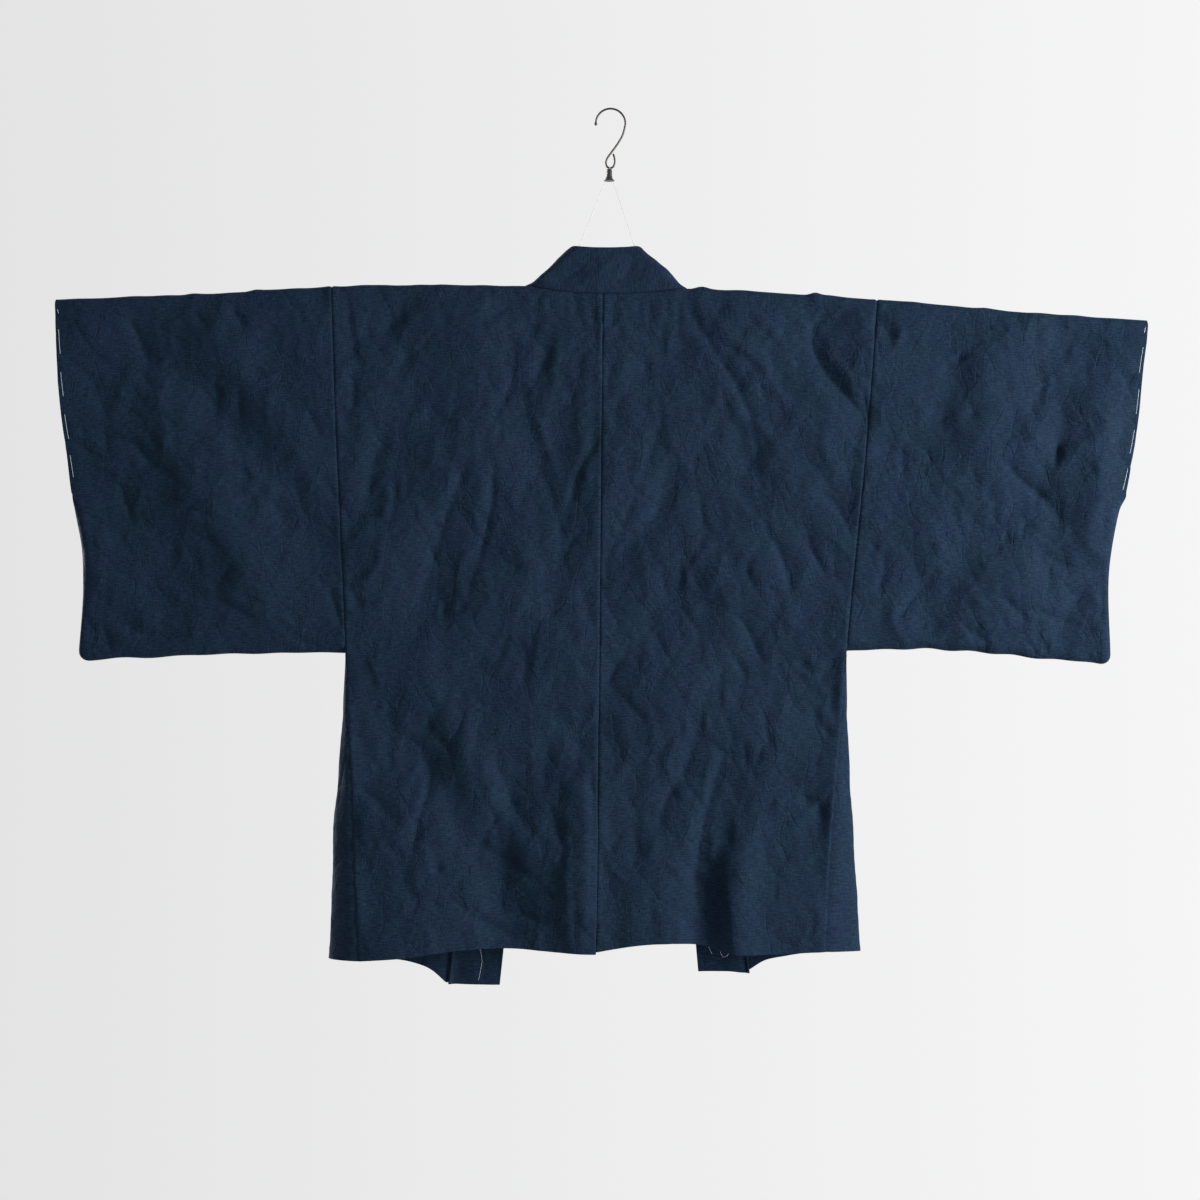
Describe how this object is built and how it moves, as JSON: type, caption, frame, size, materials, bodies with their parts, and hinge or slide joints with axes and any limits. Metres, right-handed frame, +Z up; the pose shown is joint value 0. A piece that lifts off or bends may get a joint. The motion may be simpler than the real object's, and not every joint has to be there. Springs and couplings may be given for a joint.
{
  "type": "men's haori jacket on a hanging rod with a wire hook",
  "caption": "Dark navy haori jacket hung flat on a slim rod through its sleeves, back outwards, with thin cords, a small black cap and a wire hook.",
  "frame": {"origin": "underside of the hook's crown, where the hook hangs", "axes": "+Z up, +X along the sleeves to the right of someone who looks at the jacket's back, -Y out of the jacket's back towards them"},
  "size_m": [1.3179, 0.0543, 1.0653],
  "materials": {
    "cloth": "matte navy cloth with a faint cross slub and soft creases",
    "white_thread": "soft white cotton thread",
    "cord": "thin pale twisted cord",
    "rod_wood": "plain slim bamboo rod",
    "cap_plastic": "satin black moulded cap",
    "hook_wire": "dark drawn steel wire"
  },
  "bodies": {
    "root": {"body_left": "cloth", "body_right": "cloth", "sleeve_left": "cloth", "sleeve_right": "cloth", "gusset_left": "cloth", "gusset_right": "cloth", "collar": "cloth", "rod": "rod_wood", "cord_left": "cord", "cord_right": "cord", "cap": "cap_plastic", "hook": "hook_wire", "thread_tie": "white_thread"}
  },
  "joints": []
}
